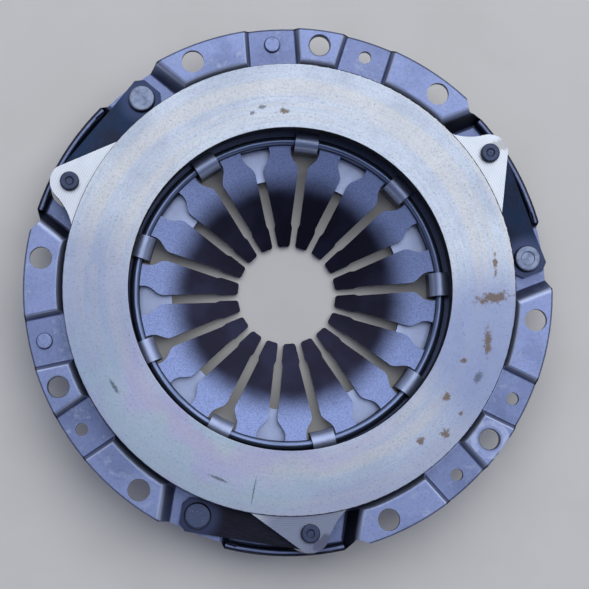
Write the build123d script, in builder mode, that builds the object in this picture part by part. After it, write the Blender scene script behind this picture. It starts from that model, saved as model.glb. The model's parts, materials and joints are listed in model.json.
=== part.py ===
from build123d import *
import os
from math import asin, cos, degrees, radians, sin, sqrt, tan

# Diaphragm-spring clutch cover assembly, push type, strap drive, for a 180 mm driven plate.
# The origin is the centre of the cover's mounting plane, +Z points to the flywheel, and one
# pair of bolt holes lies on the X axis. The plate stands in its free, uninstalled position.
# Millimetres and degrees.

# ---- driving dimensions ----------------------------------------------------------------
# cover flange
sheet = 2.8
flange_radius = 106.3
bolt_circle = 200.0
bolt_hole = 9.0
dowel_hole = 8.2
dowel_chamfer = 0.5
balance_hole = 5.1
balance_offset = 11.0  # degrees from a dowel to the balance hole on each side
recess_depth = 2.6
recess_width = 18.4
recess_slope = 1.9

# cover dish
wall_top_radius = 92.6
wall_lean = 35.0
flange_bend = 3.2
dish_bend = 2.4
cover_bore = 95.0

# cover strap bays, measured along each strap from its middle
bay_start = 37.7
ramp_run = 4.7  # bolting pad down to strap pad
strap_pad_end = 11.6
step_run = 3.6  # strap pad down to bay floor
bay_end = 37.2
end_run = 4.0  # bay floor up to the next bolting pad
strap_pad_radius = 104.3
bay_floor_depth = 12.6
bay_wall_radius = 106.8
bay_rim_depth = 7.9
notch_depth = 3.2  # nick in the outline between a bay and the next bolting pad
notch_along = 41.6
pad_corner_along = 47.2
outline_round = 1.6
access_hole = 17.0
wall_foot_bend = 1.6

# drive straps
strap_middle = 28.0  # angle of the first strap's middle
strap_span = 44.9
rivet_circle = 195.0
strap_width = 13.8
strap_overhang = 6.8  # strap end beyond its rivet
strap_corner = 2.8
strap_clamp = 8.5  # flat length beyond each rivet
leaf_count = 3
leaf_thickness = 0.6
strap_rise = 2.7
strap_bend = 30.0

# pressure plate casting
plate_outer = 181.0
plate_bore = 129.0
friction_height = 5.0
plate_thickness = 11.0
lip_thickness = 2.6
neck_radius = 86.3
neck_height = -0.6
back_radius = 84.4
bore_length = 7.0
bore_relief = 2.3
fulcrum_radius = 71.4
fulcrum_nose = 2.4
lug_drop = 1.5
lug_thickness = 4.5
lug_tip_radius = 7.8
lug_start_angle = -1.35  # where the lug leaves the ring, from the strap's middle
lug_end_angle = 23.0
lug_flank_angle = 6.0
lug_root_depth = 6.0
face_edge = 0.4

# diaphragm spring
finger_count = 18
spring_radius = 75.5
spring_thickness = 2.2
cone_angle = 11.0
finger_angle = 14.5
finger_bend = 43.0
tip_radius = 20.2
pivot_radius = 62.3
pivot_height = -15.0
window_end = 61.3
window_width = 12.0
window_waist = 50.6
window_neck = 59.2
slot_width = 3.7
shoulder_radius = 29.6
tip_slot_width = 2.4
tip_round = 1.2

# pivot rings and the cover tabs that hook over them
wire = 3.6
tab_count = 9
tab_width = 9.4
tab_wrap = 41.0  # degrees past the top of the wire
tab_notch = 14.0
tab_bend = 1.2
notch_round = 1.8

# rivets: shank, heads and balance weights
shank = 6.0
cover_head = 10.8
cover_head_height = 2.3
cover_head_round = 1.05
set_mark = 2.9  # ring that the setting tool leaves in a closed end
set_mark_depth = 0.3
lug_head = 7.6
lug_head_height = 2.5
lug_mark = 1.8
lug_mark_depth = 0.5
back_head = 9.6
back_head_height = 2.0
weight_head = 9.4
weight_height = 3.0
balance_head = 6.6
balance_head_height = 1.2
head_round = 0.7

# fits
seat_gap = 0.02  # between curved seats that bear on each other
hole_gap = 0.05  # radial, shank in hole

# ---- derived sizes ---------------------------------------------------------------------
pitch_radius = bolt_circle / 2
dowel_angle = 90.0
tab_angle = dowel_angle
cone_rise = tan(radians(cone_angle))
finger_rise = tan(radians(finger_angle))
cone_cos = cos(radians(cone_angle))
spring_drop = spring_thickness / cone_cos
wire_radius = wire / 2
wire_seat = wire_radius + seat_gap
upper_wire_height = pivot_height + wire_seat / cone_cos
lower_wire_height = pivot_height - spring_drop - wire_seat / cone_cos
dish_height = lower_wire_height - wire_seat
dish_radius = wall_top_radius + dish_height * tan(radians(wall_lean))
tab_face = pivot_radius - wire_seat
strap_distance = sqrt((rivet_circle / 2) ** 2 - (strap_span / 2) ** 2)
pack_thickness = leaf_count * leaf_thickness
lug_top = friction_height - lug_drop
lug_bottom = lug_top - lug_thickness
pad_height = lug_bottom - pack_thickness - strap_rise
plate_radius = plate_outer / 2
plate_back = friction_height - plate_thickness
fulcrum_height = (
    pivot_height
    + (fulcrum_radius - pivot_radius) * cone_rise
    + (fulcrum_nose + seat_gap) / cone_cos
)
rim_round = 0.42 * sheet
clear = 40.0  # reach of a cut past the part


def polar(radius, angle, height=0.0):
    """A point on a circle about the clutch axis."""
    return Vector(radius * cos(radians(angle)), radius * sin(radians(angle)), height)


def outward(angle, distance=0.0):
    """Plane facing outward at an angle: local x runs round the axis and y is up."""
    return Plane(polar(distance, angle), x_dir=polar(1, angle + 90), z_dir=polar(1, angle))


def section_plane(angle):
    """Plane through the axis at an angle: local x is the radius and y is up."""
    return Plane((0, 0, 0), x_dir=polar(1, angle), z_dir=polar(1, angle - 90))


def strap_plane(angle, height=0.0):
    """Level plane at the middle of a strap: local x runs along the strap."""
    return Plane(polar(strap_distance, angle, height), x_dir=polar(1, angle + 90))


def cover_rivet_place(angle):
    """Foot of a cover rivet's axis on the mounting plane."""
    return polar(strap_distance, angle) + polar(-strap_span / 2, angle + 90)


def lug_rivet_place(angle):
    """Foot of a lug rivet's axis on the mounting plane."""
    return polar(strap_distance, angle) + polar(strap_span / 2, angle + 90)


def thirds(first):
    """The three angles at which a feature of the cover repeats."""
    return [first + 120 * i for i in range(3)]


def save(piece, name):
    """Label a finished piece and write it as its own file."""
    piece.part.label = name
    export_step(piece.part, f"parts/{name}.step")


os.makedirs("parts", exist_ok=True)
strap_angles = thirds(strap_middle)
weight_angles = [dowel_angle + balance_offset, dowel_angle + 120 - balance_offset]
dowel_angles = thirds(dowel_angle)


# ---- cover -----------------------------------------------------------------------------
def pressed(points, bends):
    """Section of a pressed sheet: its upper line, and the same line one sheet below."""
    with BuildSketch(mode=Mode.PRIVATE) as section:
        with BuildLine():
            line = FilletPolyline(*points, radius=bends)
            offset(line, amount=sheet, side=Side.RIGHT)
        make_face()
    return section.sketch


def bay_wall(points):
    """Section of a bay's outer wall, its upper edge rounded to a bead."""
    with BuildSketch(mode=Mode.PRIVATE) as section:
        add(pressed(points, wall_foot_bend))
        fillet(section.vertices().group_by(Axis.Y)[-1], radius=rim_round)
    return section.sketch


def above(points, bends):
    """The open room over the upper line of a pressed sheet."""
    with BuildSketch(mode=Mode.PRIVATE) as room:
        with BuildLine():
            line = FilletPolyline(*points, radius=bends)
            Polyline(line @ 1, (points[-1][0], clear), (points[0][0], clear), line @ 0)
        make_face()
    return room.sketch


def along_angle(radius, along):
    """Angle from a strap's middle of the point that far along it, on a given radius."""
    return degrees(asin(along / radius))


def flange_outline():
    """Plan of the flange: bolting pads, set-back strap pads, bay rims and nicks."""
    notch_radius = flange_radius - notch_depth
    corners = [
        (flange_radius, -bay_start),
        (strap_pad_radius, ramp_run - bay_start),
        (strap_pad_radius, -strap_pad_end),
        (bay_wall_radius, step_run / 2 - strap_pad_end),
        (bay_wall_radius, bay_end + end_run / 4),
        (notch_radius, notch_along),
        (flange_radius, pad_corner_along),
    ]
    with BuildSketch(mode=Mode.PRIVATE) as plan:
        with BuildLine():
            for turn in thirds(0):
                angles = [strap_middle + turn + along_angle(*corner) for corner in corners]
                points = [polar(corner[0], angle) for corner, angle in zip(corners, angles)]
                Line(points[0], points[1])
                for start in (1, 3):
                    middle = (angles[start] + angles[start + 1]) / 2
                    crown = polar(corners[start][0], middle)
                    ThreePointArc(points[start], crown, points[start + 1])
                Line(points[2], points[3])
                Line(points[4], points[5])
                Line(points[5], points[6])
                next_pad = angles[0] + 120
                crown = polar(flange_radius, (angles[6] + next_pad) / 2)
                ThreePointArc(points[6], crown, polar(flange_radius, next_pad))
        make_face()
        fillet(plan.vertices(), radius=outline_round)
    return plan.sketch


def tab_hooks():
    """The tabs: up from the dish bottom through the spring and out over the upper wire."""
    with BuildPart(mode=Mode.PRIVATE) as hooks:
        with BuildLine(mode=Mode.PRIVATE) as path:
            FilletPolyline(
                (pivot_radius + wire, dish_height),
                (tab_face, dish_height),
                (tab_face, upper_wire_height),
                radius=tab_bend,
            )
            centre = (pivot_radius, upper_wire_height)
            CenterArc(centre, wire_seat, 180, -90 - tab_wrap)
        with BuildSketch(Plane.XZ):
            with BuildLine():
                offset(path.wire(), amount=sheet, side=Side.LEFT)
            make_face()
        revolve(axis=Axis.Z)
        with BuildSketch():
            with PolarLocations(pivot_radius, tab_count, start_angle=tab_angle):
                Rectangle(clear, tab_width)
        extrude(amount=clear, both=True, mode=Mode.INTERSECT)
    return hooks.part


dish_line = [
    (cover_bore / 2, dish_height),
    (dish_radius, dish_height),
    (wall_top_radius, 0),
    (flange_radius + 2, 0),
]
dish_bends = [dish_bend, flange_bend]
recess_half = recess_width / 2
recess_line = [
    (-recess_half - recess_slope - sheet, 0),
    (-recess_half - recess_slope, 0),
    (-recess_half, -recess_depth),
    (recess_half, -recess_depth),
    (recess_half + recess_slope, 0),
    (recess_half + recess_slope + sheet, 0),
]
recess_bends = [1.2, 0.6, 0.6, 1.2]
bay_line = [
    (-bay_start - 3 * sheet, 0),
    (-bay_start, 0),
    (-bay_start + ramp_run, pad_height),
    (-strap_pad_end, pad_height),
    (-strap_pad_end + step_run, -bay_floor_depth),
    (bay_end, -bay_floor_depth),
    (bay_end + end_run, 0),
    (bay_end + end_run + 3 * sheet, 0),
]
bay_bends = [3.5, 1.2, 2.0, 1.2, 1.6, 4.0]
recess_angles = [
    dowel + side * balance_offset for dowel in dowel_angles for side in (-1, 1)
]

with BuildPart() as cover:
    with BuildSketch(Plane.XZ):
        add(pressed(dish_line, dish_bends))
    revolve(axis=Axis.Z)
    # channels pressed across the flange, first their sheet and then the room over it
    with BuildSketch(*[outward(angle, dish_radius) for angle in recess_angles]):
        add(pressed(recess_line, recess_bends))
    extrude(amount=clear)
    with BuildSketch(*[outward(angle, spring_radius) for angle in strap_angles]):
        add(pressed(bay_line, bay_bends))
    extrude(amount=clear)
    with BuildSketch(*[outward(angle, dish_radius) for angle in recess_angles]):
        add(above(recess_line, recess_bends))
    extrude(amount=clear, mode=Mode.SUBTRACT)
    with BuildSketch(*[outward(angle, spring_radius) for angle in strap_angles]):
        add(above(bay_line, bay_bends))
    extrude(amount=clear, mode=Mode.SUBTRACT)
    # room inside the dish
    with BuildSketch(Plane.XZ):
        add(above([(0, dish_height)] + dish_line[1:], dish_bends))
    revolve(axis=Axis.Z, mode=Mode.SUBTRACT)
    with BuildSketch():
        add(flange_outline())
    extrude(amount=clear, both=True, mode=Mode.INTERSECT)
    # upturned outer wall of each strap bay, with its rounded foot
    wall_inside = bay_wall_radius - sheet
    foot_radius = wall_inside - sheet
    wall_line = [
        (foot_radius, -bay_floor_depth),
        (wall_inside, -bay_floor_depth),
        (wall_inside, -bay_rim_depth),
    ]
    wall_first = along_angle(bay_wall_radius, step_run / 2 - strap_pad_end)
    wall_last = along_angle(bay_wall_radius, bay_end + end_run / 4)
    wall_planes = [section_plane(angle + wall_first) for angle in strap_angles]
    with BuildSketch(*wall_planes):
        with Locations((foot_radius + clear / 2, -bay_floor_depth - clear / 2 + 0.1)):
            Rectangle(clear, clear)
    revolve(axis=Axis.Z, revolution_arc=wall_last - wall_first, mode=Mode.SUBTRACT)
    with BuildSketch(*wall_planes):
        add(bay_wall(wall_line))
    revolve(axis=Axis.Z, revolution_arc=wall_last - wall_first)
    # bolt, dowel, balance and rivet holes, and the openings under the lug rivets
    with PolarLocations(pitch_radius, 6):
        Hole(bolt_hole / 2)
    with PolarLocations(pitch_radius, 3, start_angle=dowel_angle):
        CounterSinkHole(dowel_hole / 2, dowel_hole / 2 + dowel_chamfer)
    with Locations(*[polar(pitch_radius, angle) for angle in recess_angles]):
        Hole(balance_hole / 2)
    with Locations(*[cover_rivet_place(angle) for angle in strap_angles]):
        Hole(shank / 2 + hole_gap)
    with Locations(*[lug_rivet_place(angle) for angle in strap_angles]):
        Hole(access_hole / 2)
    # notches in the dish bottom, from which the tabs are folded up
    with BuildSketch(Plane.XY.offset(dish_height - clear / 2)):
        with PolarLocations(tab_face / 2, tab_count, start_angle=tab_angle):
            RectangleRounded(tab_face, tab_notch, notch_round)
    extrude(amount=clear / 2 + sheet, mode=Mode.SUBTRACT)
    add(tab_hooks())
save(cover, "cover")


# ---- pressure plate --------------------------------------------------------------------
def lug_plane(angle):
    """Level plane under a lug, at the middle of its strap: x runs along the strap, y outward."""
    return Plane(
        polar(strap_distance, angle, lug_top),
        x_dir=polar(1, angle + 90),
        z_dir=(0, 0, -1),
    )


def lug_ring_point(angle):
    """Point on the ring's edge, in the lug's plan."""
    return Vector(plate_radius * sin(radians(angle)), plate_radius * cos(radians(angle)) - strap_distance)


def lug_plan():
    """Plan of one lug in its strap's frame: straight strap side, round tip, hollow end."""
    start = lug_ring_point(lug_start_angle)
    end = lug_ring_point(lug_end_angle)
    tip = Vector(strap_span / 2, 0)
    reach = tip - start
    lean = degrees(asin(lug_tip_radius / reach.length)) + Vector(1, 0).get_signed_angle(reach)
    first = tip + polar(lug_tip_radius, lean + 90)
    crown = tip + polar(lug_tip_radius, (lean + 90 + lug_flank_angle) / 2)
    last = tip + polar(lug_tip_radius, lug_flank_angle)
    root = lug_root_depth
    with BuildSketch(mode=Mode.PRIVATE) as plan:
        with BuildLine():
            Line(start, first)
            ThreePointArc(first, crown, last)
            TangentArc(last, end, tangent=polar(1, lug_flank_angle - 90))
            Polyline(end, end - (root, root), start - (0, root), start)
        make_face()
    return plan.sketch


with BuildPart() as pressure_plate:
    nose_low = (fulcrum_radius, fulcrum_height - fulcrum_nose)
    bore = plate_bore / 2
    with BuildSketch(Plane.XZ):
        with BuildLine():
            line = FilletPolyline(
                (fulcrum_radius + fulcrum_nose, fulcrum_height),
                (fulcrum_radius + fulcrum_nose, plate_back),
                (back_radius, plate_back),
                (neck_radius, neck_height),
                (plate_radius, friction_height - lip_thickness),
                (plate_radius, friction_height),
                (bore, friction_height),
                (bore, friction_height - bore_length),
                (bore + bore_relief, plate_back),
                (fulcrum_radius - fulcrum_nose, plate_back),
                (fulcrum_radius - fulcrum_nose, fulcrum_height),
                radius=[1.5, 1.5, 3.0, 1.0, face_edge, face_edge, 1.0, 0.8, 0.8],
            )
            ThreePointArc(line @ 1, nose_low, line @ 0)
        make_face()
    revolve(axis=Axis.Z)
    for angle in strap_angles:
        with BuildSketch(lug_plane(angle)):
            add(lug_plan())
        extrude(amount=lug_thickness)
        with Locations(lug_rivet_place(angle)):
            Hole(shank / 2 + hole_gap)
save(pressure_plate, "pressure_plate")


# ---- diaphragm spring ------------------------------------------------------------------
def finger_window():
    """Plan of one opening between two fingers: narrow slot, wider slot, then the window."""
    with BuildSketch(mode=Mode.PRIVATE) as plan:
        with BuildLine():
            half = slot_width / 2
            side = Polyline(
                (0, 0),
                (0, tip_slot_width / 2),
                (shoulder_radius - half, tip_slot_width / 2),
                (shoulder_radius, half),
                (window_waist, half),
            )
            flank = Bezier(
                (window_waist, half),
                (window_waist + 0.42 * (window_neck - window_waist), half),
                (window_waist + 0.48 * (window_neck - window_waist), window_width / 2),
                (window_neck, window_width / 2),
            )
            corner = sqrt(window_end**2 - (window_width / 2) ** 2)
            Line(flank @ 1, (corner, window_width / 2))
            ThreePointArc((corner, window_width / 2), (window_end, 0), (corner, -window_width / 2))
            mirror(about=Plane.XZ)
        make_face()
    return plan.sketch


tip_height = (
    pivot_height - (pivot_radius - finger_bend) * cone_rise - (finger_bend - tip_radius) * finger_rise
)
with BuildPart() as diaphragm_spring:
    with BuildSketch(Plane.XZ):
        with BuildLine():
            upper = FilletPolyline(
                (tip_radius, tip_height),
                (finger_bend, pivot_height - (pivot_radius - finger_bend) * cone_rise),
                (spring_radius, pivot_height + (spring_radius - pivot_radius) * cone_rise),
                radius=finger_bend,
            )
            offset(upper, amount=spring_thickness, side=Side.RIGHT)
        make_face()
    revolve(axis=Axis.Z)
    with BuildSketch() as openings:
        Circle(tip_radius)
        with PolarLocations(0, finger_count, start_angle=180 / finger_count):
            add(finger_window())
        tips = openings.vertices().sort_by_distance((0, 0, 0))[: 2 * finger_count]
        fillet(tips, radius=tip_round)
    extrude(amount=clear, both=True, mode=Mode.SUBTRACT)
save(diaphragm_spring, "diaphragm_spring")

# ---- pivot rings -----------------------------------------------------------------------
for name, height in (("upper", upper_wire_height), ("lower", lower_wire_height)):
    with BuildPart() as pivot_ring:
        with BuildSketch(Plane.XZ):
            with Locations((pivot_radius, height)):
                Circle(wire_radius)
        revolve(axis=Axis.Z)
    save(pivot_ring, f"{name}_pivot_ring")


# ---- drive straps ----------------------------------------------------------------------
def leaf_line(lift):
    """One face of a leaf: flat on the cover, an easy rise, flat under the lug."""
    end = strap_span / 2 + strap_overhang
    knee = strap_span / 2 - strap_clamp
    low = pad_height + lift
    high = low + strap_rise
    return FilletPolyline((-end, low), (-knee, low), (knee, high), (end, high), radius=strap_bend)


for strap, angle in enumerate(strap_angles, start=1):
    for leaf in range(leaf_count):
        with BuildPart() as strap_leaf:
            with BuildSketch(outward(angle, strap_distance)):
                with BuildLine():
                    under = leaf_line(leaf * leaf_thickness)
                    over = leaf_line((leaf + 1) * leaf_thickness)
                    Line(under @ 0, over @ 0)
                    Line(under @ 1, over @ 1)
                make_face()
            extrude(amount=strap_width / 2, both=True)
            with BuildSketch(strap_plane(angle)):
                blank = Rectangle(strap_span + 2 * strap_overhang, strap_width)
                chamfer(blank.vertices(), length=strap_corner)
                with Locations((-strap_span / 2, 0), (strap_span / 2, 0)):
                    Circle(shank / 2 + hole_gap, mode=Mode.SUBTRACT)
            extrude(amount=clear, both=True, mode=Mode.INTERSECT)
        save(strap_leaf, f"strap_{strap}_leaf_{leaf + 1}")


# ---- rivets ----------------------------------------------------------------------------
def rivet(low, high, head, head_height, foot, foot_height, edge=head_round, shank_size=shank):
    """Revolved rivet section: foot below the grip, shank, and head above it."""
    half = shank_size / 2
    top = high + head_height
    bottom = low - foot_height
    with BuildSketch(mode=Mode.PRIVATE) as section:
        with BuildLine():
            line = FilletPolyline(
                (0, bottom),
                (foot / 2, bottom),
                (foot / 2, low),
                (half, low),
                (half, high),
                (head / 2, high),
                (head / 2, top),
                (0, top),
                radius=[edge, 0, 0, 0, 0, edge],
            )
            Line(line @ 1, line @ 0)
        make_face()
    return section.sketch


def struck(section, top, mark, depth):
    """A rivet section with the shallow round mark of the setting tool in its head."""
    with BuildSketch(mode=Mode.PRIVATE) as marked:
        add(section)
        with BuildLine():
            Polyline((0, top), (mark, top), (mark - depth, top - depth), (0, top - depth), close=True)
        make_face(mode=Mode.SUBTRACT)
    return marked.sketch


def turned(section, place):
    """A solid of revolution about an upright axis through a place on the mounting plane."""
    with BuildPart(mode=Mode.PRIVATE) as body:
        with BuildSketch(Plane(place, x_dir=(1, 0, 0), z_dir=(0, -1, 0))):
            add(section)
        revolve(axis=Axis(place, (0, 0, 1)))
    return body.part


for number, angle in enumerate(strap_angles, start=1):
    with BuildPart() as cover_rivet:
        pad_top = pad_height + pack_thickness
        pad_bottom = pad_height - sheet
        head = (cover_head, cover_head_height)
        foot = (back_head, back_head_height)
        section = rivet(pad_bottom, pad_top, *head, *foot, edge=cover_head_round)
        if number == 1:
            # this one was closed from the flywheel side
            section = struck(section, pad_top + cover_head_height, set_mark, set_mark_depth)
        add(turned(section, cover_rivet_place(angle)))
    save(cover_rivet, f"cover_rivet_{number}")

for number, angle in enumerate(strap_angles, start=1):
    with BuildPart() as lug_rivet:
        pack_bottom = lug_bottom - pack_thickness
        head = (lug_head, lug_head_height)
        foot = (back_head, back_head_height)
        section = rivet(pack_bottom, lug_top, *head, *foot)
        section = struck(section, lug_top + lug_head_height, lug_mark, lug_mark_depth)
        add(turned(section, lug_rivet_place(angle)))
    save(lug_rivet, f"lug_rivet_{number}")

for number, angle in enumerate(weight_angles, start=1):
    with BuildPart() as balance_rivet:
        floor_bottom = -recess_depth - sheet
        head = (balance_head, balance_head_height)
        foot = (weight_head, weight_height)
        grip = balance_hole - 2 * hole_gap
        section = rivet(floor_bottom, -recess_depth, *head, *foot, shank_size=grip)
        add(turned(section, polar(pitch_radius, angle)))
    save(balance_rivet, f"balance_rivet_{number}")
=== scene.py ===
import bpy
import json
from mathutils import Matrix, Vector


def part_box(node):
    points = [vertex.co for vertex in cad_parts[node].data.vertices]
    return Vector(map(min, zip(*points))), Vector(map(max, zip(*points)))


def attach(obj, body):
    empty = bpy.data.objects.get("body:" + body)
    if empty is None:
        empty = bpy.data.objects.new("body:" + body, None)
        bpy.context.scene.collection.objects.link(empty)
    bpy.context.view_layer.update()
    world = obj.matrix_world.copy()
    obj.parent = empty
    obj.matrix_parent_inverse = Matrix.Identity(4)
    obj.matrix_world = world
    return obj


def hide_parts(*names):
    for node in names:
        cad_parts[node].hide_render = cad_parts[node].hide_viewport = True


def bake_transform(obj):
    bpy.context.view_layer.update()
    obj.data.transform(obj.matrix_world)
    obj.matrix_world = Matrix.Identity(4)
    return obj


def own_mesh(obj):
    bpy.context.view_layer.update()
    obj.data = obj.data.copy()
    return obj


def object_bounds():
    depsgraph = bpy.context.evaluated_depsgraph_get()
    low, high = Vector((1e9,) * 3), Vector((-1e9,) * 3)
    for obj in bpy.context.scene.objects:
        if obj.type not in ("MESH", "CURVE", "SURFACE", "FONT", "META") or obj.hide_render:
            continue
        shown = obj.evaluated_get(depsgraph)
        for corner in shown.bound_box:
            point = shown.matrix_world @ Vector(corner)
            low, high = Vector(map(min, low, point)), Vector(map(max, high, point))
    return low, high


bl_info = {
    "name": "Clutch Cover Finisher",
    "version": (1, 0, 0),
    "blender": (4, 5, 0),
    "location": "3D Viewport > Sidebar > Clutch",
    "description": "Finishes and lights the pieces of a diaphragm-spring clutch cover",
    "category": "Object",
}

import json
import math
from collections import namedtuple

import bpy
from bpy.props import FloatProperty, FloatVectorProperty, PointerProperty
from mathutils import Matrix, Vector

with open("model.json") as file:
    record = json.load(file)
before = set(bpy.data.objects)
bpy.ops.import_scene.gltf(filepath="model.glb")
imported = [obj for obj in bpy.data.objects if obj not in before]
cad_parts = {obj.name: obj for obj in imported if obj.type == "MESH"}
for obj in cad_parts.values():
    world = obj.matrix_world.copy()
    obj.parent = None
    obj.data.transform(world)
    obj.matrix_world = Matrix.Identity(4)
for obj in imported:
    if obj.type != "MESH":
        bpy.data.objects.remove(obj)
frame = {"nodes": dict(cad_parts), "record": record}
CAD_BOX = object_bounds()

MM = 0.001
MOUNTS = {mount["name"]: mount for mount in frame["record"]["mounts"]}
PITCH_RADIUS = MOUNTS["cover_bolts"]["dims"]["pcd_mm"] / 2 * MM
FRICTION_HEIGHT = MOUNTS["friction_face"]["pos_m"][2]
RIVETS = [f"{kind}_rivet_{number}" for kind in ("cover", "lug") for number in (1, 2, 3)]
RIVETS += ["balance_rivet_1", "balance_rivet_2"]

# ---- where finishes meet ------------------------------------------------------------------
# Radii and angles about the clutch axis, and heights over the mounting plane
FLANGE_START = 92.0 * MM
PRESSED_DOWN = -1.5 * MM  # recesses and bays lie below this
PRESSED_DEEP = -3.0 * MM
OUTLINE_START = 105.7 * MM  # rounded outer edge of the bolting pads
BAY_RIM_START = 104.4 * MM
BAY_RIM_TOP = -6.5 * MM
PAINTED_LIGHT_START = 68.0 * MM
PAINTED_LIGHT_FULL = 63.0 * MM
COINED_HOLE = math.radians(-30)  # the one dowel hole with a bright ring
COINED_RING = 6.6 * MM
COINED_HALF_WIDTH = 1.2 * MM
FACE_EDGE = 90.6 * MM  # the lugs lie outside it
LUG_DROP = 2.0 * MM  # the lugs are cut less than this under the friction face
DARK_TIP_END = 42.0 * MM
PEENED_START = 56.0 * MM
RING_SHADE_START = 63.4 * MM  # the spring passes under the upper pivot ring
RING_SHADE_FULL = 64.6 * MM
OILY_RIM_START = 74.0 * MM
OILY_RIM_FULL = 88.0 * MM
SHEEN_BAND = 14.0 * MM  # from a lilac band to the green one beside it
SHEEN_WANDER = 60.0 * MM  # how far clouds carry the bands out of round

# Marks on the friction face: radius, angle, half length, half width and lean, in
# millimetres and degrees
RUST_SPOTS = [
    (81.5, 4.4, 12.0, 4.0, 12.0),
    (81.5, -8.4, 11.0, 2.6, 95.0),
    (74.9, -15.7, 2.5, 2.0, 0.0),
    (75.3, -27.7, 3.2, 3.0, 0.0),
    (83.9, -29.5, 2.0, 1.6, 0.0),
    (84.2, -36.5, 3.4, 2.8, 60.0),
    (79.4, -42.9, 2.6, 2.8, 0.0),
    (71.0, 99.0, 3.2, 1.8, 10.0),
    (82.5, 13.9, 9.0, 1.6, 100.0),
]
SCUFFS = [
    (80.8, -104.1, 6.5, 1.0, -16.0),
    (80.1, -143.7, 5.5, 1.3, -50.0),
    (81.5, -93.6, 9.5, 0.5, 86.0),
    (82.7, -18.5, 4.5, 2.4, 67.0),
    (73.6, 106.0, 2.6, 1.3, 15.0),
    (71.9, 109.2, 2.0, 1.4, 30.0),
]
# Oil on the friction face: radius, angle, half length, half width and strength
OIL_FILMS = [
    (86.0, -167.0, 44.0, 50.0, 0.45),
    (84.0, -9.0, 42.0, 42.0, 0.8),
    (60.0, -85.0, 140.0, 95.0, 0.22),
]
# Rust on the lugs: the lug's rivet, the stain's shift from it along X and Y, and strength
LUG_STAINS = [
    ("lug_rivet_3", 5.0, -3.0, 0.8),
    ("lug_rivet_1", 5.0, 5.0, 0.4),
]

# ---- how the pieces are shaped ------------------------------------------------------------
# How round tumbling leaves a piece's edges, as a share of the panel's edge round
COVER_ROUND = 2.0
PLATE_ROUND = 0.6
RIVET_ROUND = 0.3
MERGE_DISTANCE = 0.002 * MM
FLAT_ANGLE = math.radians(0.6)  # triangles that differ by less are one face
SHARP_ANGLE = math.radians(38)  # edges over this are rounded
SMOOTH_ANGLE = math.radians(35)
STRAP_CELLS = 60  # along one leaf
STRAP_RAMP = 0.7  # share of a leaf's rise that is a straight ramp, the rest being eased
STRAP_ROUND = 0.08 * MM
STRAP_SMOOTH_ANGLE = math.radians(30)
HOLE_VERTICES = 48

# What survey finds at a point of a surface
Place = namedtuple("Place", "point radius angle height level")


def linear(hex_colour):
    """An sRGB hex colour as the linear values that shaders work in."""
    channels = [int(hex_colour[i : i + 2], 16) / 255 for i in (1, 3, 5)]
    return [c / 12.92 if c <= 0.04045 else ((c + 0.055) / 1.055) ** 2.4 for c in channels]


def on_face(radius, degrees):
    """A point of the friction face by its radius in millimetres and its angle."""
    angle = math.radians(degrees)
    return (radius * MM * math.cos(angle), radius * MM * math.sin(angle), FRICTION_HEIGHT)


def middle_of(node):
    """The middle of a CAD node's box."""
    low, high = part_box(node)
    return (low + high) / 2


def colour_property(name, description, hex_colour):
    """A colour that the panel shows."""
    return FloatVectorProperty(
        name=name,
        description=description,
        default=linear(hex_colour),
        size=3,
        min=0.0,
        max=1.0,
        subtype="COLOR",
    )


def length_property(name, description, millimetres):
    """A length that the panel shows."""
    return FloatProperty(
        name=name,
        description=description,
        default=millimetres * MM,
        min=0.0,
        subtype="DISTANCE",
        unit="LENGTH",
    )


def angle_property(name, description, degrees):
    """An angle that the panel shows."""
    return FloatProperty(
        name=name,
        description=description,
        default=math.radians(degrees),
        subtype="ANGLE",
        unit="ROTATION",
    )


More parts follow.
